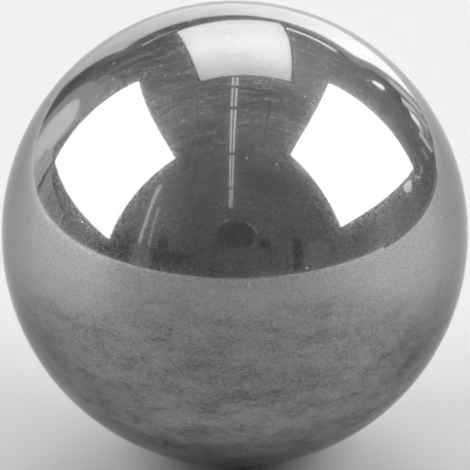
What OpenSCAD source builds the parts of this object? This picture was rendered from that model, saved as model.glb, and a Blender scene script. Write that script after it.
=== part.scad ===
// Polished steel ball: one true sphere with no flat, hole or seam.
// Millimetres, +Z up, origin at the ball's centre.

/* [Ball] */
// Diameter of the ball, from pole to pole
ball_d = 25.4; // [3:0.1:60]

/* [Hidden] */
// Names of the pieces, one node each
// The piece to draw, or "all"
// Facets round the ball where it is drawn as a mesh
facets = 180;

// The ball is ground and lapped from a single blank, so it is one solid.
module ball() {
    color("silver")
        sphere(d = ball_d, $fn = facets);
}

ball();
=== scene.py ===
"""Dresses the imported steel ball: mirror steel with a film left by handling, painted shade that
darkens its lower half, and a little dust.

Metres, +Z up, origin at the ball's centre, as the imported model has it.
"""

import math

import bpy
from bpy.props import CollectionProperty, FloatProperty, FloatVectorProperty, IntProperty
from bpy.props import PointerProperty
from mathutils import Matrix, Quaternion, Vector


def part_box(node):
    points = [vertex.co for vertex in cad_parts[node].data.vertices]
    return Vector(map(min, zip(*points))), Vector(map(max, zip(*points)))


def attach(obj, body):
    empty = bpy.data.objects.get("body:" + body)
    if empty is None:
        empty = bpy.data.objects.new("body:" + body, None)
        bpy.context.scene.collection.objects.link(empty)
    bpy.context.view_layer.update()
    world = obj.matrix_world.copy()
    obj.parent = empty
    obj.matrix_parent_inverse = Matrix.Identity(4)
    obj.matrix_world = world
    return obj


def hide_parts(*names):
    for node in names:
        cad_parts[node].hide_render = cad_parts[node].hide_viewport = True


bl_info = {
    "name": "Steel Ball",
    "version": (1, 0, 0),
    "blender": (4, 5, 0),
    "location": "3D View > Sidebar > Steel Ball",
    "description": "Makes the polished surface of a steel ball and the small studio round it",
    "category": "Object",
}

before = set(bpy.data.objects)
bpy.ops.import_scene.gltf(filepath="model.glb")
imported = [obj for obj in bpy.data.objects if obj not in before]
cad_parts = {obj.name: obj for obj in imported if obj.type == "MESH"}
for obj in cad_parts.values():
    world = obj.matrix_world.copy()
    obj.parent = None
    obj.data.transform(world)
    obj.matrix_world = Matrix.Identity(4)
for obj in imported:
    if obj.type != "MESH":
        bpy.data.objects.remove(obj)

NODE = "ball"
BODY = "root"

BALL_LOW, BALL_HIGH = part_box(NODE)
BALL_RADIUS = max(high - low for low, high in zip(BALL_LOW, BALL_HIGH)) / 2

# Film. Its blotches and grain run level round the ball: flattened along Z by this much
FILM_FLATTENED = (1.0, 1.0, 2.2)
# Levels of the noises at which the film's blotches and its grain begin and are full
BLOTCH_LEVELS = (0.34, 0.78)
GRAIN_LEVELS = (0.28, 0.80)
# Shares of the small blotches and the large patches in the film, and the mean of both together
BLOTCH_SHARE = 0.70
PATCH_SHARE = 0.30
BLOTCH_MEAN = 0.35
# Where the painted shade on the lower half, the underside, the right side and the grain begin and are
# full, in ball radii
PAINTED_SHADE_EDGE = (0.15, -0.23)
UNDERSIDE = (-0.15, -0.75)
RIGHT_SIDE = (0.35, 0.85)
GRAIN_EDGE = (0.70, 0.30)
# How far the edge of the painted shade on the lower half wanders up and down, in ball radii
PAINTED_SHADE_WANDER = 0.5

# Dust. The side on which it settles thickest: the top, and a little to the right
DUST_SIDE = (0.25, 0.05, 0.97)
# Where it begins and is thickest along that side, and how far this wanders, in ball radii
DUST_EDGE = (0.6, 1.5)
DUST_WANDER = 0.8
# Share of the fine dust that lies on the thin side, and what the thick side has more
DUST_THIN = 0.5
DUST_THICK = 0.5
# The higher, the fewer of the specks and motes are large
SPECK_RARITY = 2.0
MOTE_RARITY = 1.5
# Share of a speck's radius within which it is at its thickest, its roughness and its relief
SPECK_CORE = 0.3
SPECK_ROUGHNESS = 0.7
SPECK_RELIEF = 0.5
# Smears are wiped long over the ball: the smaller this length, the longer they are
SMEAR_TURN = 0.0024
SMEAR_LEVELS = (0.44, 0.61)
# Where they begin and are full towards the top, in ball radii, with their shares below and above
SMEAR_EDGE = (0.30, 0.90)
SMEARS_BELOW = 0.25
SMEARS_ABOVE = 0.75
# Motes between the smears, and how many more lie in them
MOTES_BETWEEN = 0.4
MOTES_IN_SMEARS = 1.6

# Haze. How many scratches wide a tuft of micro-scratches is, its weight, and the levels of both
TUFT_WIDTH = 14
TUFT_WEIGHT = 0.5
HAZE_LEVELS = (0.59, 1.03)

# The three softboxes. Azimuth is counted from behind the ball (+Y) towards +X, elevation from
# the level. Turn, tilt and roll move a softbox away from facing the ball squarely. Angles in
# degrees, lengths in metres.
SOFTBOXES = (
    {
        "name": "left_softbox",
        "azimuth": -83.6, "elevation": 33.4, "distance": 0.85,
        "turn": 19.3, "tilt": 1.1, "roll": -3.9,
        "width": 0.937, "height": 0.716, "radiance": 3.4, "fade": 0.0, "bow": 0.014,
    },
    {
        "name": "right_softbox",
        "azimuth": 91.4, "elevation": 38.5, "distance": 0.85,
        "turn": -4.0, "tilt": -12.3, "roll": -83.0,
        "width": 0.689, "height": 0.907, "radiance": 3.7, "fade": 0.0, "bow": 0.007,
    },
    {
        "name": "top_softbox",
        "azimuth": -0.2, "elevation": 46.2, "distance": 1.0,
        "turn": -15.9, "tilt": 28.0, "roll": -13.3,
        "width": 0.518, "height": 0.946, "radiance": 1.88, "fade": 0.47, "bow": 0.0,
    },
)

# Part of a softbox's height over which its fade sets in
FADE_SPAN = (0.55, 1.05)

# Black rim round the front cloth of a softbox, with steps along each bowed side
RIM_WIDTH = 0.012
RIM_DEPTH = 0.004
RIM_STEPS = 8
RIM_RADIANCE = 0.02

# Upright glowing panels low round the back of the ball: sides as azimuths, edges as elevations
PANELS = (
    {
        "name": "backdrop",
        "left": -23.9, "right": 26.2, "bottom": -0.5, "top": 20.9, "rise": 0.5, "distance": 1.25,
        "left_radiance": 0.93, "right_radiance": 2.80,
    },
    {
        "name": "left_bar",
        "left": -23.4, "right": -13.5, "bottom": 26.7, "top": 27.7, "rise": 0.6, "distance": 1.3,
        "left_radiance": 1.5, "right_radiance": 0.7,
    },
    {
        "name": "right_bar",
        "left": 12.2, "right": 26.5, "bottom": 27.7, "top": 29.2, "rise": -1.2, "distance": 1.3,
        "left_radiance": 2.9, "right_radiance": 2.6,
    },
)

# Flat shapes that stand round the room: name, distance, radiance, then the corners as (azimuth,
# elevation) in degrees
CARDS = (
    ("backdrop_left_edge", 1.2, 1.15, ((-23.9, 3), (-21.8, 3), (-21.8, 20), (-23.9, 20))),
    ("backdrop_top_edge", 2.0, 0.58, (
        (11, 18), (31, 18), (31.6, 21.5), (31, 25), (24, 23.4), (11, 23.6),
    )),
    ("backdrop_right_edge", 3.3, 0.58, ((24, 0.6), (34, 0.6), (33, 9), (30.4, 18), (24, 18))),
    ("fill_card", 3.0, 1.26, (
        (-38.4, -0.6), (-37.6, 3), (-38.7, 8.5), (-39.6, 14), (-41.9, 18.6), (-48, 21), (-52.5, 20.4),
        (-54.6, 14.8), (-53.8, 9.4), (-50.5, 7), (-47, -0.6),
    )),
    ("fill_card_edge", 3.1, 0.88, ((-46, -0.6), (-53, 10), (-56.6, 11), (-60, 9.5), (-58, -0.6))),
    ("fill_card_low", 3.2, 0.62, (
        (-60.4, -0.6), (-61, 3), (-61.6, 8), (-65, 10.5), (-68.2, 8.4), (-71, 8), (-71, -0.6),
    )),
    ("fill_card_foot", 3.2, 0.48, ((-71, -0.6), (-71, 8), (-76, 7.4), (-83, 5.6), (-83, -0.6))),
    ("fill_card_back", 3.4, 0.57, (
        (-33.2, -0.6), (-33.3, 4.5), (-33.2, 8), (-33.6, 12.5), (-35.2, 18.5), (-37, 21.5), (-41, 25),
        (-44, 30.5), (-49, 30.5), (-56, 20), (-56, 5), (-46, -0.6),
    )),
    ("fill_card_top", 3.5, 0.4, (
        (-36.5, 26), (-37, 21), (-56, 20), (-53, 33), (-48, 38.5), (-44, 36.5),
    )),
    ("small_lamp", 2.5, 3.0, (
        (37.9, 23), (37, 21.1), (36.9, 19.6), (36.9, 18.2), (38.6, 18.8), (39.7, 20.2), (39.8, 21.8),
        (39.3, 23), (38.9, 23.6),
    )),
    ("reflector", 2.5, 1.6, (
        (75.5, 13.2), (71.2, 10.1), (73.9, 8.7), (77.5, 9.3), (79.3, 10.9), (77.9, 12.2),
    )),
    ("window_1", 3.0, 1.2, ((28.8, 0.7), (31.9, 0.7), (32.2, 6), (32.4, 11.4), (28.9, 11.4))),
    ("window_2_low", 3.0, 1.15, ((34, 0.6), (36.4, 0.6), (36.2, 6), (34.1, 6))),
    ("window_2_high", 3.0, 1.5, ((34.1, 6), (36.2, 6), (38.3, 10.5), (38.1, 11.8), (34.7, 10.4))),
    ("window_3_low", 3.0, 1.3, ((39.8, 4.9), (42.9, 5.2), (42.4, 7.4), (41.6, 7.6), (39.6, 5.6))),
    ("window_3_high", 2.9, 2.6, ((38, 7), (39.6, 5.6), (41.6, 7.6), (41.2, 9.8), (38.4, 9.6))),
    ("window_4_left", 3.0, 0.68, ((37, 1.2), (39.8, 2), (40, 4.6), (37.9, 6.8), (36.6, 6.6))),
    ("window_4_right", 3.0, 0.46, ((39.6, 0.4), (42.8, 0.4), (42.6, 4.6), (40.2, 4.6))),
    ("window_5", 3.0, 1.3, ((43.2, 1.4), (45.6, 2.6), (46.2, 8.4), (43.4, 7.2))),
    ("window_6", 3.0, 0.7, ((50.1, 4.4), (51.7, 4.4), (52, 8), (50.4, 8))),
    ("floor_rail", 0.56, 0.22, (
        (48, -0.7), (66, -0.8), (84, -0.85), (103, -0.85), (103, 0.1), (84, 0.1), (66, 0.1), (48, 0.1),
    )),
    ("camera_front", 0.6, 0.12, (
        (179.3, 27.3), (175, 26.9), (171.3, 25), (168.9, 21.5), (169.3, 19.1), (170.9, 16.5),
        (173.5, 14.6), (184.4, 14.5), (188.5, 16.3), (189.7, 19.1), (189.5, 22.1), (188.2, 24.6),
        (185.3, 26.9),
    )),
    ("lamp_stand_foot", 2.1, 0.31, ((-127.5, 0.4), (-138, 0.4), (-137, 9.5), (-129, 10.8))),
    ("dark_case_1", 2.0, 0.09, ((167.6, 18.6), (161.9, 18), (161.9, 13.4), (167.6, 13.8))),
    ("dark_case_2", 2.0, 0.09, ((151, 1), (150.5, 17), (146.5, 16), (146.5, 1))),
    ("dark_case_3", 2.0, 0.11, ((-141, 11), (-146, 11), (-146, 15), (-141, 15))),
    ("dark_case_4", 2.0, 0.12, ((-139, 3.5), (-158, 3.5), (-158, 10), (-139, 10))),
    ("dark_pole", 2.0, 0.11, ((162.9, 14), (162.1, 14), (162.1, 1), (162.9, 1))),
    ("pale_board", 2.2, 0.27, ((145.5, 9.3), (139.8, 14.3), (132.2, 11.5), (133.4, 1.6), (146.4, 0.9))),
)

# Long thin shapes of the room, such as stands, seams of the ceiling and the shine on the camera's
# rim: name, distance, width, radiance, then the points on the way as (azimuth, elevation)
STRIPS = (
    ("lamp_stand_1", 2.0, 0.056, 1.15, (
        (-132.7, 38.4), (-132.2, 35.3), (-132, 30.3), (-132.2, 20.8), (-131.8, 16), (-131.4, 10.3),
    )),
    ("lamp_stand_2", 2.0, 0.045, 0.7, ((-137.3, 28.5), (-136.7, 26), (-136.6, 10.4))),
    ("softbox_leg_1", 2.8, 0.045, 0.08, ((-61.5, 11.8), (-67.8, 8), (-76, 7.2), (-83.3, 5.6))),
    ("softbox_leg_2", 2.8, 0.035, 0.08, ((-70.2, 6), (-69.9, 0.5))),
    ("softbox_leg_3", 2.8, 0.03, 1.2, ((-83.3, 4.4), (-82.7, 0.3))),
    ("card_fold_1", 2.9, 0.014, 0.28, ((-51.7, 7.8), (-51, 0.5))),
    ("card_fold_2", 2.9, 0.014, 0.28, ((-57, 10), (-56, 5), (-55, 1))),
    ("window_frame", 2.9, 0.02, 1.2, ((43.7, 3), (43.1, 1), (43.2, 0.2))),
    ("clamp_1", 2.5, 0.034, 1.3, ((59.1, 7.7), (61.8, 7.1))),
    ("clamp_2", 2.5, 0.034, 1.1, ((64.3, 7), (67.8, 9.8))),
    ("camera_rim_left", 0.6, 0.008, 0.5, (
        (-170.2, 21.6), (-171.8, 24.2), (-174.3, 26.7), (-176, 28.4),
    )),
    ("camera_rim_right", 0.6, 0.009, 0.5, ((174.6, 26.7), (171.7, 24.9), (169.5, 23.3), (168.4, 21.1))),
    ("ceiling_seam_1", 3.0, 0.035, 0.2, ((59.3, 73.4), (153.1, 61.8))),
    ("ceiling_seam_2", 3.0, 0.035, 0.2, ((-67.6, 73.6), (-136.6, 66.7))),
    ("ceiling_seam_3", 3.0, 0.035, 0.2, ((-78.4, 61.2), (-71.8, 74), (-62.7, 77.8), (61.5, 65.7))),
    ("ceiling_streak", 2.9, 0.03, 0.5, ((45.1, 78.5), (54.4, 73.9))),
)

# Soft glows of the room's walls and ceiling: azimuth, elevation and spread in degrees, radiance
GLOWS = (
    (40, 44, 34, 0.23),
    (-40, 50, 30, 0.05),
    (-94, 58, 26, 0.12),
    (-34, 24, 18, 0.08),
    (180, 55, 50, 0.02),
    (-160, 28, 36, 0.04),
    (20, 78, 50, 0.07),
    (150, 8, 40, 0.07),
    (-140, 18, 20, 0.05),
    (-124, 30, 26, 0.12),
    (110, 8, 26, 0.11),
    (124, 61, 26, 0.07),
    (60, 8, 22, 0.1),
)

# How squarely a direction points to the left or right where the pale side walls begin
WALLS_EDGE = 0.90

# The floor glows a little far from the ball, where the softboxes light it less: metres from its
# middle at which the glow begins and is full
FLOOR_GLOW_SPAN = (0.10, 0.80)
# It glows more to the left and right, where the softboxes stand: metres from the middle line
SIDE_GLOW_SPAN = (0.30, 1.00)

# Twin tubes along the ceiling: the ends of each lit length, front to back, then how far the whole
# row is turned and set aside
TUBE_LENGTHS = ((-2.95, -2.15), (-2.09, -1.14), (-1.08, -0.18), (-0.12, 0.27), (0.33, 0.52))
TUBE_TURN = math.radians(-2.1)
TUBE_SHIFT = -0.010

# The nearest thing that the camera sees, as a share of its distance, and the farthest in metres
CAMERA_NEAR = 0.01
CAMERA_FAR = 20.0
# Radius of the ball's outline and half the width of the picture, in pixels
OUTLINE_RADIUS = 233.4
PICTURE_HALF_WIDTH = 235.0

WHITE = (1.0, 1.0, 1.0, 1.0)

# What like properties have in common
ANGLE = {"subtype": "ANGLE", "unit": "ROTATION"}
COLOR = {"subtype": "COLOR", "size": 3, "min": 0.0, "max": 1.0}
SHARE = {"subtype": "FACTOR", "min": 0.0, "max": 1.0}


# ---------------------------------------------------------------- settings


class BallShape(bpy.types.PropertyGroup):
    """Sizes of the ball's surface."""

    radius: FloatProperty(
        name="Radius", description="Radius of the finished ball",
        default=BALL_RADIUS, min=0.0005, unit="LENGTH", precision=4,
    )
    divisions: IntProperty(
        name="Divisions", description="Faces along each edge of the cube that becomes the ball",
        default=100, min=8, max=128,
    )


class BallFinish(bpy.types.PropertyGroup):
    """Look of the polished steel, of what has settled on it, and of the shade painted on its lower
    half.
    """

    steel: FloatVectorProperty(
        name="Steel", description="Colour of the clean polished steel",
        default=(0.400, 0.400, 0.399), **COLOR,
    )
    edge: FloatVectorProperty(
        name="Edge", description="Share of the reflection that is kept at a glancing angle",
        default=(0.70, 0.70, 0.70), **COLOR,
    )
    # This colour is also that of the painted shade which darkens the lower half
    film_and_shade: FloatVectorProperty(
        name="Film", description="Colour of the dry film left by handling and oil",
        default=(0.05, 0.05, 0.05), **COLOR,
    )
    dust: FloatVectorProperty(
        name="Dust", description="Colour of the dust",
        default=(0.75, 0.75, 0.75), **COLOR,
    )
    # On the lower half this cover is partly painted shade, which darkens it
    film_and_shade_cover: FloatProperty(
        name="Film cover", description="Share of the steel that the film hides on the lower half",
        default=0.455, **SHARE,
    )
    film_contrast: FloatProperty(
        name="Film contrast", description="How unevenly the film lies, and twice that underneath",
        default=1.15, min=0.0, max=4.0,
    )
    # The thick side is painted shade, rolled forward so that the front of the lower half is darker
    painted_shade_roll: FloatProperty(
        name="Film roll", description="How far the film's thick side is rolled forward from underneath",
        default=math.radians(21.0), **ANGLE,
    )
    # Below, the full cover of film and painted shade lies; above, only this share of it
    top_share: FloatProperty(
        name="Film on top", description="Film on the upper half, as a share of that on the lower half",
        default=0.08, **SHARE,
    )
    cloud_size: FloatProperty(
        name="Cloud size", description="Width of the large, soft patches in the film",
        default=0.0060, min=0.0001, unit="LENGTH", precision=5,
    )
    mottle_size: FloatProperty(
        name="Mottle size", description="Width of the largest blotches in the film",
        default=0.0022, min=0.0001, unit="LENGTH", precision=5,
    )
    grain_size: FloatProperty(
        name="Grain size", description="Width of the fine, level grain",
        default=0.00014, min=0.00001, unit="LENGTH", precision=6,
    )
    # At the lower right more painted shade is laid on along with the film
    film_and_shade_right: FloatProperty(
        name="Film at the right", description="Added film at the lower right, as a share of the rest",
        default=0.9, min=0.0, max=2.0,
    )
    # Less film and painted shade underneath, where the steel mirrors the dark contact shadow already
    film_and_shade_eased: FloatProperty(
        name="Film rubbed off", description="Share of the film that is rubbed off underneath",
        default=0.35, **SHARE,
    )
    grain_cover: FloatProperty(
        name="Grain cover", description="Share of the steel that the grain hides, except on top",
        default=0.30, **SHARE,
    )
    haze_size: FloatProperty(
        name="Haze size", description="Width of one micro-scratch",
        default=0.000013, min=0.00001, unit="LENGTH", precision=6,
    )
    haze_roughness: FloatProperty(
        name="Haze roughness", description="Roughness where the micro-scratches are thickest",
        default=0.25, **SHARE,
    )
    mirror_roughness: FloatProperty(
        name="Mirror roughness", description="Roughness of the clean lapped steel",
        default=0.035, **SHARE,
    )
    dust_spacing: FloatProperty(
        name="Dust spacing", description="Distance from one speck of dust to the next",
        default=0.0008, min=0.00001, unit="LENGTH", precision=6,
    )
    dust_size: FloatProperty(
        name="Dust size", description="Radius of the largest specks of dust",
        default=0.00016, min=0.00001, unit="LENGTH", precision=6,
    )
    dust_height: FloatProperty(
        name="Dust height", description="Height of a speck of dust above the steel",
        default=0.0000015, min=0.0, unit="LENGTH", precision=7,
    )
    dust_cover: FloatProperty(
        name="Dust cover", description="Share of the steel that is hidden in the middle of a speck",
        default=0.40, **SHARE,
    )
    mote_spacing: FloatProperty(
        name="Mote spacing", description="Spacing of the fine dust motes",
        default=0.00016, min=0.00002, unit="LENGTH", precision=6,
    )
    mote_size: FloatProperty(
        name="Mote size", description="Radius of a fine dust mote",
        default=0.00010, min=0.00001, unit="LENGTH", precision=6,
    )
    smear_size: FloatProperty(
        name="Smear size", description="Width of the widest smears of fine dust",
        default=0.00045, min=0.0001, unit="LENGTH", precision=5,
    )
    smear_cover: FloatProperty(
        name="Smear cover", description="Share of the steel that is hidden in the thickest smears",
        default=0.18, **SHARE,
    )
    mote_cover: FloatProperty(
        name="Mote cover", description="Share of the steel that is hidden in the middle of a mote",
        default=0.20, **SHARE,
    )


class SoftboxSettings(bpy.types.PropertyGroup):
    """Place, size and level of one softbox."""

    azimuth: FloatProperty(
        name="Azimuth", description="Direction of the softbox from behind the ball towards +X",
        default=0.0, **ANGLE,
    )
    elevation: FloatProperty(
        name="Elevation", description="Height of the softbox above the level, as an angle",
        default=math.radians(35), **ANGLE,
    )
    distance: FloatProperty(
        name="Distance", description="Distance from the ball to the middle of the softbox",
        default=0.5, min=0.05, unit="LENGTH",
    )
    turn: FloatProperty(
        name="Turn", description="Turn of the softbox to the side, away from facing the ball",
        default=0.0, **ANGLE,
    )
    tilt: FloatProperty(
        name="Tilt", description="Tilt of the softbox up or down, away from facing the ball",
        default=0.0, **ANGLE,
    )
    roll: FloatProperty(
        name="Roll", description="Roll of the softbox about its own middle",
        default=0.0, **ANGLE,
    )
    width: FloatProperty(
        name="Width", description="Width of the softbox's front cloth",
        default=0.5, min=0.01, unit="LENGTH",
    )
    height: FloatProperty(
        name="Height", description="Height of the softbox's front cloth",
        default=0.4, min=0.01, unit="LENGTH",
    )
    radiance: FloatProperty(
        name="Radiance", description="Brightness of the front cloth, where 1 is white",
        default=2.5, min=0.0,
    )
    fade: FloatProperty(
        name="Fade", description="Share of its brightness that the cloth loses towards its near edge",
        default=0.0, **SHARE,
    )
    bow: FloatProperty(
        name="Bow", description="How far the rim bows in over the middle of each side",
        default=0.02, min=0.0, unit="LENGTH",
    )


class PanelSettings(bpy.types.PropertyGroup):
    """Place, size and level of one upright panel."""

    left: FloatProperty(
        name="Left", description="Azimuth of the panel's left side",
        default=0.0, **ANGLE,
    )
    right: FloatProperty(
        name="Right", description="Azimuth of the panel's right side",
        default=0.0, **ANGLE,
    )
    bottom: FloatProperty(
        name="Bottom", description="Elevation of the panel's lower edge",
        default=0.0, **ANGLE,
    )
    top: FloatProperty(
        name="Top", description="Elevation of the panel's upper edge",
        default=0.0, **ANGLE,
    )
    rise: FloatProperty(
        name="Rise", description="How much higher the panel's right side hangs than its left side",
        default=0.0, **ANGLE,
    )
    distance: FloatProperty(
        name="Distance", description="Level distance from the ball to the panel",
        default=1.25, min=0.05, unit="LENGTH",
    )
    left_radiance: FloatProperty(
        name="Radiance at left", description="Brightness at the panel's left side, where 1 is white",
        default=1.0, min=0.0,
    )
    right_radiance: FloatProperty(
        name="Radiance at right", description="Brightness at the panel's right side, where 1 is white",
        default=1.0, min=0.0,
    )


class StudioSettings(bpy.types.PropertyGroup):
    """Floor, room, ceiling tubes and camera."""

    floor_color: FloatVectorProperty(
        name="Floor", description="Colour of the plain floor",
        default=(0.57, 0.57, 0.57), **COLOR,
    )
    floor_roughness: FloatProperty(
        name="Floor roughness", description="Roughness of the floor's satin face",
        default=0.6, **SHARE,
    )
    floor_ior: FloatProperty(
        name="Floor IOR", description="Index of refraction of the floor's satin face",
        default=2.6, min=1.0, max=3.0,
    )
    floor_glow: FloatProperty(
        name="Floor glow", description="Radiance that the floor adds of its own far from the ball",
        default=0.34, min=0.0,
    )
    floor_side_glow: FloatProperty(
        name="Floor side glow", description="Radiance that the floor adds far to the left and right",
        default=0.62, min=0.0,
    )
    floor_width: FloatProperty(
        name="Floor width", description="Width of the square floor",
        default=6.0, min=0.1, unit="LENGTH",
    )
    room_low: FloatProperty(
        name="Room at the horizon", description="Brightness of the room low down, where 1 is white",
        default=0.12, min=0.0,
    )
    room_high: FloatProperty(
        name="Room overhead", description="Brightness of the dim room overhead, where 1 is white",
        default=0.165, min=0.0,
    )
    room_sides: FloatProperty(
        name="Side walls", description="Brightness that the pale side walls add to the room",
        default=0.22, min=0.0,
    )
    tube_height: FloatProperty(
        name="Tube height", description="Height of the ceiling tubes above the ball",
        default=2.0, min=0.1, unit="LENGTH",
    )
    tube_gap: FloatProperty(
        name="Tube gap", description="Distance between the middles of the twin tubes",
        default=0.055, min=0.01, unit="LENGTH",
    )
    tube_width: FloatProperty(
        name="Tube width", description="Width of one ceiling tube",
        default=0.028, min=0.001, unit="LENGTH",
    )
    tube_radiance: FloatProperty(
        name="Tube radiance", description="Brightness of the ceiling tubes, where 1 is white",
        default=1.23, min=0.0,
    )
    camera_elevation: FloatProperty(
        name="Camera elevation", description="Angle at which the camera looks down on the ball",
        default=math.radians(21.4), **ANGLE,
    )
    camera_distance: FloatProperty(
        name="Camera distance", description="Distance from the ball's centre to the camera",
        default=0.54, min=0.05, unit="LENGTH",
    )
    camera_across: FloatProperty(
        name="Camera across", description="How far the camera is set to the right of the ball's centre",
        default=0.0000125, unit="LENGTH", precision=6,
    )
    camera_down: FloatProperty(
        name="Camera down", description="How far the camera is set below the ball's centre line",
        default=0.0000593, unit="LENGTH", precision=6,
    )
    frame_fill: FloatProperty(
        name="Frame fill", description="Share of the picture's width that the ball's outline takes",
        default=OUTLINE_RADIUS / PICTURE_HALF_WIDTH, min=0.05, max=1.0, subtype="FACTOR",
    )
    softboxes: CollectionProperty(
        name="Softboxes", description="The softboxes that light the ball",
        type=SoftboxSettings,
    )
    panels: CollectionProperty(
        name="Panels", description="The upright glowing panels behind the ball",
        type=PanelSettings,
    )


# ---------------------------------------------------------------- helpers


def add_object(name, data):
    """Adds an object at the origin to the scene."""
    obj = bpy.data.objects.new(name, data)
    bpy.context.scene.collection.objects.link(obj)
    return obj


def new_material(name):
    """An empty node material, with its tree and the socket that takes its shader."""
    material = bpy.data.materials.new(name)
    material.use_nodes = True
    tree = material.node_tree
    tree.nodes.clear()
    output = tree.nodes.new("ShaderNodeOutputMaterial")
    return material, tree, output.inputs["Surface"]


def own_point(tree):
    """The point of the surface in its object's own coordinates."""
    return tree.nodes.new("ShaderNodeTexCoord").outputs["Object"]


def feed(tree, socket, value):
    """Links a value that comes from a node, or sets a plain one."""
    if isinstance(value, bpy.types.NodeSocket):
        tree.links.new(value, socket)
    else:
        socket.default_value = value


def math_node(tree, operation, *values, clamp=False):
    """A Math node on sockets or plain numbers; returns its output."""
    node = tree.nodes.new("ShaderNodeMath")
    node.operation = operation
    node.use_clamp = clamp
    for socket, value in zip(node.inputs, values):
        feed(tree, socket, value)
    return node.outputs[0]


def product(tree, first, second):
    """Two values multiplied."""
    return math_node(tree, "MULTIPLY", first, second)


def vector_node(tree, operation, vector, other=None, scale=None, output="Vector"):
    """A Vector Math node on one vector, with a second vector or a scale if it takes one."""
    node = tree.nodes.new("ShaderNodeVectorMath")
    node.operation = operation
    feed(tree, node.inputs[0], vector)
    if other is not None:
        feed(tree, node.inputs[1], other)
    if scale is not None:
        feed(tree, node.inputs["Scale"], scale)
    return node.outputs[output]


def split_node(tree, vector):
    """The outputs X, Y and Z of a vector."""
    node = tree.nodes.new("ShaderNodeSeparateXYZ")
    feed(tree, node.inputs[0], vector)
    return node.outputs


def mapping_node(tree, vector, setting, value):
    """A vector whose Scale or Rotation is changed."""
    node = tree.nodes.new("ShaderNodeMapping")
    feed(tree, node.inputs["Vector"], vector)
    node.inputs[setting].default_value = value
    return node.outputs["Vector"]


def color_mix(tree, factor, under, over):
    """A colour that turns from under to over as the factor rises; each is a socket or a value."""
    node = tree.nodes.new("ShaderNodeMix")
    node.data_type = "RGBA"
    tree.links.new(factor, node.inputs["Factor"])
    for name, color in (("A", under), ("B", over)):
        if isinstance(color, bpy.types.NodeSocket):
            tree.links.new(color, node.inputs[name])
        else:
            node.inputs[name].default_value = (*color, 1.0)
    return node.outputs["Result"]


def ramp_node(tree, value, start, end, low=0.0, high=1.0, kind="SMOOTHSTEP"):
    """Maps start..end of a value to low..high, smoothly unless kind is LINEAR."""
    node = tree.nodes.new("ShaderNodeMapRange")
    node.interpolation_type = kind
    feed(tree, node.inputs["Value"], value)
    ends = {"From Min": start, "From Max": end, "To Min": low, "To Max": high}
    for name, number in ends.items():
        node.inputs[name].default_value = number
    return node.outputs["Result"]


def radii_ramp(tree, length, span):
    """Smoothly maps a length to 0..1, over a span given in ball radii."""
    return ramp_node(tree, length, BALL_RADIUS * span[0], BALL_RADIUS * span[1])


def noise_node(tree, vector, size, detail, roughness, distortion=0.0, fourth=None):
    """Fractal noise whose largest marks are about size wide; fourth is a fourth coordinate."""
    node = tree.nodes.new("ShaderNodeTexNoise")
    if fourth is not None:
        node.noise_dimensions = "4D"
        feed(tree, node.inputs["W"], fourth)
    feed(tree, node.inputs["Vector"], vector)
    node.inputs["Scale"].default_value = 1.0 / size
    node.inputs["Detail"].default_value = detail
    node.inputs["Roughness"].default_value = roughness
    node.inputs["Distortion"].default_value = distortion
    return node.outputs["Fac"]


# ---------------------------------------------------------------- the ball


def ball_surface_tree():
    """Geometry Nodes tree: a cube whose points are blown out to a sphere of the given radius."""
    tree = bpy.data.node_groups.new("Ball surface", "GeometryNodeTree")
    interface = tree.interface
    interface.new_socket("Geometry", in_out="OUTPUT", socket_type="NodeSocketGeometry")
    radius = interface.new_socket("Radius", in_out="INPUT", socket_type="NodeSocketFloat")
    radius.subtype = "DISTANCE"
    interface.new_socket("Divisions", in_out="INPUT", socket_type="NodeSocketInt")
    interface.new_socket("Finish", in_out="INPUT", socket_type="NodeSocketMaterial")

    nodes = tree.nodes
    link = tree.links.new
    entry = nodes.new("NodeGroupInput")
    exit_ = nodes.new("NodeGroupOutput")

    # A cube from -1 to 1, so that a point's coordinate times 45 degrees is its angle on the ball
    cube = nodes.new("GeometryNodeMeshCube")
    cube.inputs["Size"].default_value = (2.0, 2.0, 2.0)
    points = math_node(tree, "ADD", entry.outputs["Divisions"], 1.0)
    for axis in ("X", "Y", "Z"):
        link(points, cube.inputs["Vertices " + axis])

    position = nodes.new("GeometryNodeInputPosition")
    angle = vector_node(tree, "SCALE", position.outputs[0], scale=math.pi / 4)
    outward = vector_node(tree, "NORMALIZE", vector_node(tree, "TANGENT", angle))
    reach = vector_node(tree, "SCALE", outward, scale=entry.outputs["Radius"])

    blow_out = nodes.new("GeometryNodeSetPosition")
    link(cube.outputs["Mesh"], blow_out.inputs["Geometry"])
    link(reach, blow_out.inputs["Position"])
    smooth = nodes.new("GeometryNodeSetShadeSmooth")
    link(blow_out.outputs["Geometry"], smooth.inputs["Geometry"])
    realize = nodes.new("GeometryNodeRealizeInstances")
    link(smooth.outputs["Geometry"], realize.inputs["Geometry"])
    finish = nodes.new("GeometryNodeSetMaterial")
    link(realize.outputs["Geometry"], finish.inputs["Geometry"])
    link(entry.outputs["Finish"], finish.inputs["Material"])
    link(finish.outputs["Geometry"], exit_.inputs["Geometry"])
    return tree


def make_plain_mesh(carrier, tree, values, name):
    """Runs a Geometry Nodes tree on carrier with the named values and keeps its plain mesh."""
    modifier = carrier.modifiers.new("Surface", "NODES")
    modifier.node_group = tree
    for item in tree.interface.items_tree:
        if item.in_out == "INPUT" and item.name in values:
            modifier[item.identifier] = values[item.name]
    depsgraph = bpy.context.evaluated_depsgraph_get()
    mesh = bpy.data.meshes.new_from_object(carrier.evaluated_get(depsgraph))
    mesh.name = name
    carrier.modifiers.remove(modifier)
    carrier.data = mesh
    if not mesh.polygons:
        raise RuntimeError(f"the tree {tree.name} made no faces for {name}")
    return carrier


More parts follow.
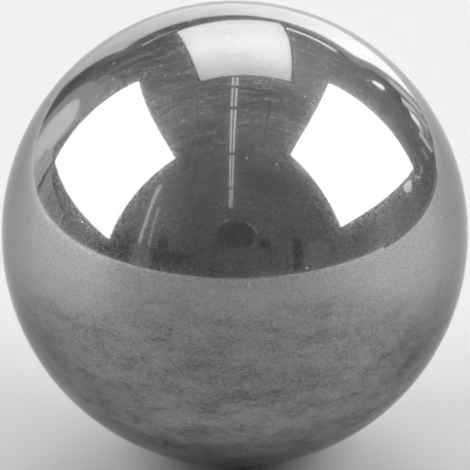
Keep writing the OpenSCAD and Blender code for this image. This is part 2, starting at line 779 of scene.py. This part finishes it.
def film_and_shade_nodes(tree, true, flat, clouds, finish):
    """Share of the steel that the film and the painted shade hide: blotches and grain, with painted
    shade that makes it thickest on the lower half.
    """
    place = split_node(tree, true)
    mottle = noise_node(tree, flat, finish.mottle_size, detail=6.0, roughness=0.85)
    blotches = ramp_node(tree, mottle, *BLOTCH_LEVELS)
    patches = product(tree, ramp_node(tree, clouds, *BLOTCH_LEVELS), PATCH_SHARE)
    total = math_node(tree, "MULTIPLY_ADD", blotches, BLOTCH_SHARE, patches)

    # Underneath it is twice as uneven, and some of it is taken off, since the steel there mirrors the
    # floor's dark contact shadow already
    under = radii_ramp(tree, place["Z"], UNDERSIDE)
    swing = math_node(tree, "MULTIPLY_ADD", under, finish.film_contrast, finish.film_contrast)
    change = math_node(tree, "SUBTRACT", total, BLOTCH_MEAN)
    uneven = math_node(tree, "MULTIPLY_ADD", change, swing, 1.0)
    eased_below = math_node(tree, "MULTIPLY_ADD", under, -finish.film_and_shade_eased, uneven)

    # Its thick side is painted shade, rolled forward so that the front of the lower half is darkest,
    # and its edge wanders
    rolled = split_node(tree, mapping_node(tree, true, "Rotation", (finish.painted_shade_roll, 0.0, 0.0)))
    wander = math_node(tree, "MULTIPLY_ADD", clouds, BALL_RADIUS * PAINTED_SHADE_WANDER, rolled["Z"])
    low = radii_ramp(tree, wander, PAINTED_SHADE_EDGE)
    thick = math_node(tree, "MULTIPLY_ADD", low, 1.0 - finish.top_share, finish.top_share)
    # At the lower right more film and painted shade are laid on
    right = product(tree, radii_ramp(tree, place["X"], RIGHT_SIDE), under)
    more = finish.film_and_shade_cover * finish.film_and_shade_right
    cover_here = math_node(tree, "MULTIPLY_ADD", right, more, finish.film_and_shade_cover)
    deep = product(tree, eased_below, product(tree, thick, cover_here))

    grain = noise_node(tree, flat, finish.grain_size, detail=1.0, roughness=0.5)
    marks = ramp_node(tree, grain, *GRAIN_LEVELS)
    dulled = radii_ramp(tree, place["Z"], GRAIN_EDGE)
    grained = product(tree, product(tree, marks, dulled), finish.grain_cover)
    return math_node(tree, "ADD", deep, grained, clamp=True)


def scatter_node(tree, vector, spacing, channel, rarity):
    """Scattered points: the distance to the nearest one, in spacings, and its own size of 0..1."""
    cells = tree.nodes.new("ShaderNodeTexVoronoi")
    cells.inputs["Scale"].default_value = 1.0 / spacing
    feed(tree, cells.inputs["Vector"], vector)
    draw = tree.nodes.new("ShaderNodeSeparateColor")
    feed(tree, draw.inputs["Color"], cells.outputs["Color"])
    return cells.outputs["Distance"], math_node(tree, "POWER", draw.outputs[channel], rarity)


def smears_node(tree, true, size):
    """Noise that is drawn out long over the ball from side to side."""
    upright = vector_node(tree, "MULTIPLY", true, (1.0, 0.0, 1.0))
    turned = split_node(tree, vector_node(tree, "NORMALIZE", upright))
    wiped = tree.nodes.new("ShaderNodeCombineXYZ")
    feed(tree, wiped.inputs["X"], vector_node(tree, "LENGTH", upright, output="Value"))
    feed(tree, wiped.inputs["Y"], split_node(tree, true)["Y"])
    feed(tree, wiped.inputs["Z"], product(tree, turned["X"], SMEAR_TURN))
    fourth = product(tree, turned["Z"], SMEAR_TURN)
    vector = wiped.outputs["Vector"]
    return noise_node(tree, vector, size, detail=6.0, roughness=0.95, fourth=fourth)


def dust_nodes(tree, true, clouds, finish):
    """Shares of the steel that are hidden by the specks of dust alone, and by all dust."""
    distance, own_size = scatter_node(tree, true, finish.dust_spacing, "Red", SPECK_RARITY)
    reach = finish.dust_size / finish.dust_spacing
    scaled = math_node(tree, "DIVIDE", distance, own_size)
    specks = product(tree, ramp_node(tree, scaled, reach, reach * SPECK_CORE), finish.dust_cover)

    settled = vector_node(tree, "DOT_PRODUCT", true, DUST_SIDE, output="Value")
    drift = math_node(tree, "MULTIPLY_ADD", clouds, BALL_RADIUS * DUST_WANDER, settled)
    depth = radii_ramp(tree, drift, DUST_EDGE)
    lying = math_node(tree, "MULTIPLY_ADD", depth, DUST_THICK, DUST_THIN)

    smears = ramp_node(tree, smears_node(tree, true, finish.smear_size), *SMEAR_LEVELS)
    upward = radii_ramp(tree, split_node(tree, true)["Z"], SMEAR_EDGE)
    more = math_node(tree, "MULTIPLY_ADD", upward, SMEARS_ABOVE, SMEARS_BELOW)
    smeared = product(tree, product(tree, smears, lying), more)
    thin_dust = product(tree, smeared, finish.smear_cover)

    distance, own_size = scatter_node(tree, true, finish.mote_spacing, "Green", MOTE_RARITY)
    near = ramp_node(tree, distance, finish.mote_size / finish.mote_spacing, 0.0)
    gathered = math_node(tree, "MULTIPLY_ADD", smears, MOTES_IN_SMEARS, MOTES_BETWEEN)
    motes = product(tree, product(tree, near, own_size), product(tree, gathered, lying))
    bloom = math_node(tree, "MULTIPLY_ADD", motes, finish.mote_cover, thin_dust)
    return specks, math_node(tree, "MAXIMUM", specks, bloom, clamp=True)


def roughness_nodes(tree, true, specks, finish):
    """Roughness of lapped steel with a haze of micro-scratches, and of the dull specks on it."""
    scratches = noise_node(tree, true, finish.haze_size, detail=0.0, roughness=0.5)
    tufts = noise_node(tree, true, finish.haze_size * TUFT_WIDTH, detail=2.0, roughness=0.9)
    total = math_node(tree, "MULTIPLY_ADD", tufts, TUFT_WEIGHT, scratches)
    haze = product(tree, ramp_node(tree, total, *HAZE_LEVELS), finish.haze_roughness)
    spread = math_node(tree, "MAXIMUM", haze, product(tree, specks, SPECK_ROUGHNESS))
    return math_node(tree, "MAXIMUM", spread, finish.mirror_roughness)


def steel_material(finish):
    """Mirror steel under a thin film and painted shade on its lower half, with a haze of
    micro-scratches, and dust that hides it.
    """
    material, tree, surface = new_material("Polished steel")
    true = own_point(tree)
    flat = mapping_node(tree, true, "Scale", FILM_FLATTENED)
    clouds = noise_node(tree, flat, finish.cloud_size, detail=3.0, roughness=0.6, distortion=0.3)
    film_and_shade = film_and_shade_nodes(tree, true, flat, clouds, finish)
    specks, dust = dust_nodes(tree, true, clouds, finish)

    bump = tree.nodes.new("ShaderNodeBump")
    bump.inputs["Strength"].default_value = SPECK_RELIEF
    bump.inputs["Distance"].default_value = finish.dust_height
    feed(tree, bump.inputs["Height"], specks)

    # The film's dark colour also paints shade on the lower half
    filmed_and_shaded = color_mix(tree, film_and_shade, finish.steel, finish.film_and_shade)
    shader = tree.nodes.new("ShaderNodeBsdfPrincipled")
    shader.inputs["Specular Tint"].default_value = (*finish.edge, 1.0)
    feed(tree, shader.inputs["Base Color"], color_mix(tree, dust, filmed_and_shaded, finish.dust))
    feed(tree, shader.inputs["Metallic"], math_node(tree, "SUBTRACT", 1.0, dust, clamp=True))
    feed(tree, shader.inputs["Roughness"], roughness_nodes(tree, true, specks, finish))
    feed(tree, shader.inputs["Normal"], bump.outputs["Normal"])
    feed(tree, surface, shader.outputs["BSDF"])
    return material


class STEELBALL_OT_ball(bpy.types.Operator):
    """Make the ball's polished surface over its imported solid"""

    bl_idname = "steelball.ball"
    bl_label = "Make Ball"

    def execute(self, context):
        scene = context.scene
        carrier = add_object("polished_ball", bpy.data.meshes.new("polished_ball"))
        values = {
            "Radius": scene.steelball_shape.radius,
            "Divisions": scene.steelball_shape.divisions,
            "Finish": steel_material(scene.steelball_finish),
        }
        piece = make_plain_mesh(carrier, ball_surface_tree(), values, "polished_ball")
        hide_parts(NODE)
        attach(piece, BODY)
        return {"FINISHED"}


# ---------------------------------------------------------------- the studio


def fill_tables(studio):
    """Puts the softboxes and panels into the settings, if none is there yet."""
    if studio.softboxes or studio.panels:
        return
    angles = (
        "azimuth", "elevation", "turn", "tilt", "roll", "left", "right", "bottom", "top", "rise",
    )
    for table, values_list in ((studio.softboxes, SOFTBOXES), (studio.panels, PANELS)):
        for values in values_list:
            entry = table.add()
            for key, value in values.items():
                setattr(entry, key, math.radians(value) if key in angles else value)


def direction(azimuth, elevation):
    """Unit vector from the ball's centre at an azimuth counted from +Y towards +X."""
    level = math.cos(elevation)
    return Vector((math.sin(azimuth) * level, math.cos(azimuth) * level, math.sin(elevation)))


def spot(azimuth, elevation, distance=1.0):
    """The point at a distance from the ball's centre, with the angles in degrees."""
    return direction(math.radians(azimuth), math.radians(elevation)) * distance


def softbox_matrix(box):
    """World matrix of a softbox: its light leaves along the lamp's own -Z."""
    outward = direction(box.azimuth, box.elevation)
    facing = -outward
    across = Vector((0.0, 0.0, 1.0)).cross(facing).normalized()
    upright = facing.cross(across)
    turn = Quaternion(upright, box.turn)
    facing, across = turn @ facing, turn @ across
    tilt = Quaternion(across, box.tilt)
    facing, upright = tilt @ facing, tilt @ upright
    roll = Quaternion(facing, box.roll)
    across, upright = roll @ across, roll @ upright
    matrix = Matrix((across, upright, -facing)).transposed()
    if matrix.determinant() < 0:
        matrix = Matrix((-across, upright, -facing)).transposed()
    matrix = matrix.to_4x4()
    matrix.translation = outward * box.distance
    return matrix


def add_lamp(name, width, height, radiance, matrix):
    """A rectangular area lamp, which shines along its own -Z."""
    lamp = bpy.data.lights.new(name, "AREA")
    lamp.shape = "RECTANGLE"
    lamp.size = width
    lamp.size_y = height
    # An area lamp of P watts has a radiance of P / (pi x area)
    lamp.energy = radiance * math.pi * width * height
    add_object(name, lamp).matrix_world = matrix
    return lamp


def make_rim(box, matrix):
    """The softbox's black rim, a frame just in front of the cloth that bows in over each side."""
    half = Vector((box.width / 2, box.height / 2, 0.0))
    signs = ((-1, -1), (1, -1), (1, 1), (-1, 1))
    inner, outer = [], []
    for (x0, y0), (x1, y1) in zip(signs, signs[1:] + signs[:1]):
        inward = Vector((-(x0 + x1) / 2, -(y0 + y1) / 2, 0.0))
        for step in range(RIM_STEPS):
            t = step / RIM_STEPS
            along = Vector((x0 + (x1 - x0) * t, y0 + (y1 - y0) * t, 0.0))
            # The bow is nothing at the corners and full halfway between them
            inner.append(along * half + inward * (box.bow * 4 * t * (1 - t)))
            outer.append(along * half + along * RIM_WIDTH)
    count = len(inner)
    faces = [(i, count + i, count + (i + 1) % count, (i + 1) % count) for i in range(count)]
    name = box.name + "_rim"
    rim = stage_panel(name, inner + outer, glow_material(name, RIM_RADIANCE), faces)
    rim.matrix_world = matrix @ Matrix.Translation((0.0, 0.0, -RIM_DEPTH))


def make_softbox(box):
    """A softbox: an area lamp for the front cloth, with a black rim round it."""
    matrix = softbox_matrix(box)
    lamp = add_lamp(box.name, box.width, box.height, box.radiance, matrix)
    if box.fade:
        lamp.use_nodes = True
        tree = lamp.node_tree
        where = tree.nodes.new("ShaderNodeNewGeometry")
        place = split_node(tree, where.outputs["Parametric"])
        nearness = ramp_node(tree, place["Y"], *FADE_SPAN)
        level = math_node(tree, "MULTIPLY_ADD", nearness, -box.fade, 1.0)
        feed(tree, tree.nodes["Emission"].inputs["Strength"], level)
    make_rim(box, matrix)


def make_tubes(studio):
    """Twin tubes in a row along the ceiling, not quite square to the camera."""
    turn = Matrix.Rotation(TUBE_TURN, 4, "Z")
    for side, label in ((-0.5, "left"), (0.5, "right")):
        for number, (front, back) in enumerate(TUBE_LENGTHS, 1):
            x = side * studio.tube_gap + TUBE_SHIFT
            middle = Matrix.Translation((x, (front + back) / 2, studio.tube_height))
            name = f"tube_{label}_{number}"
            add_lamp(name, studio.tube_width, back - front, studio.tube_radiance, turn @ middle)


def floor_material(studio):
    """A plain pale floor with a satin face, which glows a little far from the ball."""
    material, tree, surface = new_material("Pale floor")
    where = own_point(tree)
    away = vector_node(tree, "LENGTH", where, output="Value")
    far = ramp_node(tree, away, *FLOOR_GLOW_SPAN)
    across = math_node(tree, "ABSOLUTE", split_node(tree, where)["X"])
    side_glow = product(tree, ramp_node(tree, across, *SIDE_GLOW_SPAN), studio.floor_side_glow)
    shader = tree.nodes.new("ShaderNodeBsdfPrincipled")
    shader.inputs["Base Color"].default_value = (*studio.floor_color, 1.0)
    shader.inputs["Roughness"].default_value = studio.floor_roughness
    shader.inputs["IOR"].default_value = studio.floor_ior
    shader.inputs["Emission Color"].default_value = WHITE
    glow = math_node(tree, "MULTIPLY_ADD", far, studio.floor_glow, side_glow)
    feed(tree, shader.inputs["Emission Strength"], glow)
    feed(tree, surface, shader.outputs["BSDF"])
    return material


def glow_material(name, left, right=None, half_width=1.0):
    """A panel that glows evenly, or more to one side. Its own X runs from left to right."""
    material, tree, surface = new_material(name)
    x = split_node(tree, own_point(tree))["X"]
    right = left if right is None else right
    strength = ramp_node(tree, x, -half_width, half_width, left, right, kind="LINEAR")
    glow = tree.nodes.new("ShaderNodeEmission")
    feed(tree, glow.inputs["Strength"], strength)
    feed(tree, surface, glow.outputs[0])
    return material


def stage_panel(name, points, material, faces=((0, 1, 2, 3),)):
    """A flat panel of the stage; it has four corners unless faces says otherwise."""
    mesh = bpy.data.meshes.new(name)
    mesh.from_pydata(points, [], faces)
    mesh.materials.append(material)
    panel = add_object(name, mesh)
    return panel


def make_floor(studio):
    """The plain floor that the ball stands on."""
    half = studio.floor_width / 2
    z = BALL_LOW[2]
    corners = [(-half, -half, z), (half, -half, z), (half, half, z), (-half, half, z)]
    stage_panel("floor", corners, floor_material(studio))


def make_panel(panel):
    """One upright panel, square to the level direction of its middle."""
    middle = (panel.left + panel.right) / 2
    half = panel.distance * math.tan((panel.right - panel.left) / 2)

    def height(elevation):
        return max(panel.distance * math.tan(elevation), BALL_LOW[2])

    corners = [
        (-half, 0.0, height(panel.bottom)),
        (half, 0.0, height(panel.bottom + panel.rise)),
        (half, 0.0, height(panel.top + panel.rise)),
        (-half, 0.0, height(panel.top)),
    ]
    material = glow_material(panel.name, panel.left_radiance, panel.right_radiance, half)
    obj = stage_panel(panel.name, corners, material)
    obj.location = (panel.distance * math.sin(middle), panel.distance * math.cos(middle), 0.0)
    obj.rotation_euler = (0.0, 0.0, -middle)


def make_cards():
    """The flat shapes that stand round the room."""
    for name, distance, radiance, corners in CARDS:
        points = [spot(*corner, distance) for corner in corners]
        stage_panel(name, points, glow_material(name, radiance), (range(len(points)),))


def make_strips():
    """The long thin shapes of the room."""
    for name, distance, width, radiance, way in STRIPS:
        path = [spot(*point, distance) for point in way]
        points, faces = [], []
        for start, end in zip(path, path[1:]):
            side = (end - start).cross(start + end).normalized() * (width / 2)
            first = len(points)
            points += [start - side, end - side, end + side, start + side]
            faces.append(range(first, first + 4))
        stage_panel(name, points, glow_material(name, radiance), faces)


def make_room(studio):
    """The dim room round the table, with pale side walls and soft glows."""
    world = bpy.data.worlds.new("Dim room")
    world.use_nodes = True
    tree = world.node_tree
    where = tree.nodes.new("ShaderNodeTexCoord").outputs["Generated"]
    place = split_node(tree, where)
    low, high = studio.room_low, studio.room_high
    level = ramp_node(tree, place["Z"], 0.0, 1.0, low, high, kind="LINEAR")
    sideways = math_node(tree, "ABSOLUTE", place["X"])
    walls = product(tree, ramp_node(tree, sideways, WALLS_EDGE, 1.0), studio.room_sides)
    strength = math_node(tree, "ADD", level, walls)
    for azimuth, elevation, spread, radiance in GLOWS:
        middle = spot(azimuth, elevation)
        towards = vector_node(tree, "DOT_PRODUCT", where, middle, output="Value")
        nearness = ramp_node(tree, towards, math.cos(math.radians(spread)), 1.0)
        strength = math_node(tree, "MULTIPLY_ADD", nearness, radiance, strength)
    background = tree.nodes["Background"]
    background.inputs["Color"].default_value = WHITE
    feed(tree, background.inputs["Strength"], strength)
    bpy.context.scene.world = world


def make_camera(studio):
    """The camera, which looks down on the ball from the -Y side."""
    lens = bpy.data.cameras.new("camera")
    camera = add_object("camera", lens)
    outline = math.tan(math.asin(BALL_RADIUS / studio.camera_distance))
    half_width = outline / studio.frame_fill
    lens.lens = lens.sensor_width / 2 / half_width
    lens.clip_start = studio.camera_distance * CAMERA_NEAR
    lens.clip_end = CAMERA_FAR
    back = Vector((0.0, -math.cos(studio.camera_elevation), math.sin(studio.camera_elevation)))
    rotation = back.to_track_quat("Z", "Y")
    offset = rotation @ Vector((studio.camera_across, -studio.camera_down, 0.0))
    camera.location = back * studio.camera_distance + offset
    camera.rotation_euler = rotation.to_euler()
    bpy.context.scene.camera = camera


class STEELBALL_OT_stage(bpy.types.Operator):
    """Set up the floor, panels, softboxes, ceiling tubes, room and camera"""

    bl_idname = "steelball.stage"
    bl_label = "Set Up Stage"

    def execute(self, context):
        studio = context.scene.steelball_studio
        fill_tables(studio)
        make_floor(studio)
        for panel in studio.panels:
            make_panel(panel)
        for box in studio.softboxes:
            make_softbox(box)
        make_tubes(studio)
        make_cards()
        make_strips()
        make_room(studio)
        make_camera(studio)
        context.scene.view_settings.view_transform = "Standard"
        return {"FINISHED"}


# ---------------------------------------------------------------- sidebar


class STEELBALL_PT_sidebar(bpy.types.Panel):
    """Settings and steps of the steel ball"""

    bl_idname = "STEELBALL_PT_sidebar"
    bl_label = "Steel Ball"
    bl_space_type = "VIEW_3D"
    bl_region_type = "UI"
    bl_category = "Steel Ball"

    def draw(self, context):
        scene = context.scene
        for title, settings in (
            ("Ball", scene.steelball_shape),
            ("Finish", scene.steelball_finish),
            ("Studio", scene.steelball_studio),
        ):
            box = self.layout.box()
            box.label(text=title)
            for key in settings.__annotations__:
                if key not in ("softboxes", "panels"):
                    box.prop(settings, key)
        studio = scene.steelball_studio
        for entry in (*studio.softboxes, *studio.panels):
            box = self.layout.box()
            box.label(text=entry.name)
            for key in type(entry).__annotations__:
                box.prop(entry, key)
        self.layout.operator(STEELBALL_OT_ball.bl_idname)
        self.layout.operator(STEELBALL_OT_stage.bl_idname)


CLASSES = (
    BallShape,
    BallFinish,
    SoftboxSettings,
    PanelSettings,
    StudioSettings,
    STEELBALL_OT_ball,
    STEELBALL_OT_stage,
    STEELBALL_PT_sidebar,
)


def register():
    for cls in CLASSES:
        bpy.utils.register_class(cls)
    bpy.types.Scene.steelball_shape = PointerProperty(type=BallShape)
    bpy.types.Scene.steelball_finish = PointerProperty(type=BallFinish)
    bpy.types.Scene.steelball_studio = PointerProperty(type=StudioSettings)


def unregister():
    del bpy.types.Scene.steelball_studio
    del bpy.types.Scene.steelball_finish
    del bpy.types.Scene.steelball_shape
    for cls in reversed(CLASSES):
        bpy.utils.unregister_class(cls)


def main():
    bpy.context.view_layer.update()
    register()
    bpy.ops.steelball.ball()
    bpy.ops.steelball.stage()


if __name__ == "__main__":
    main()
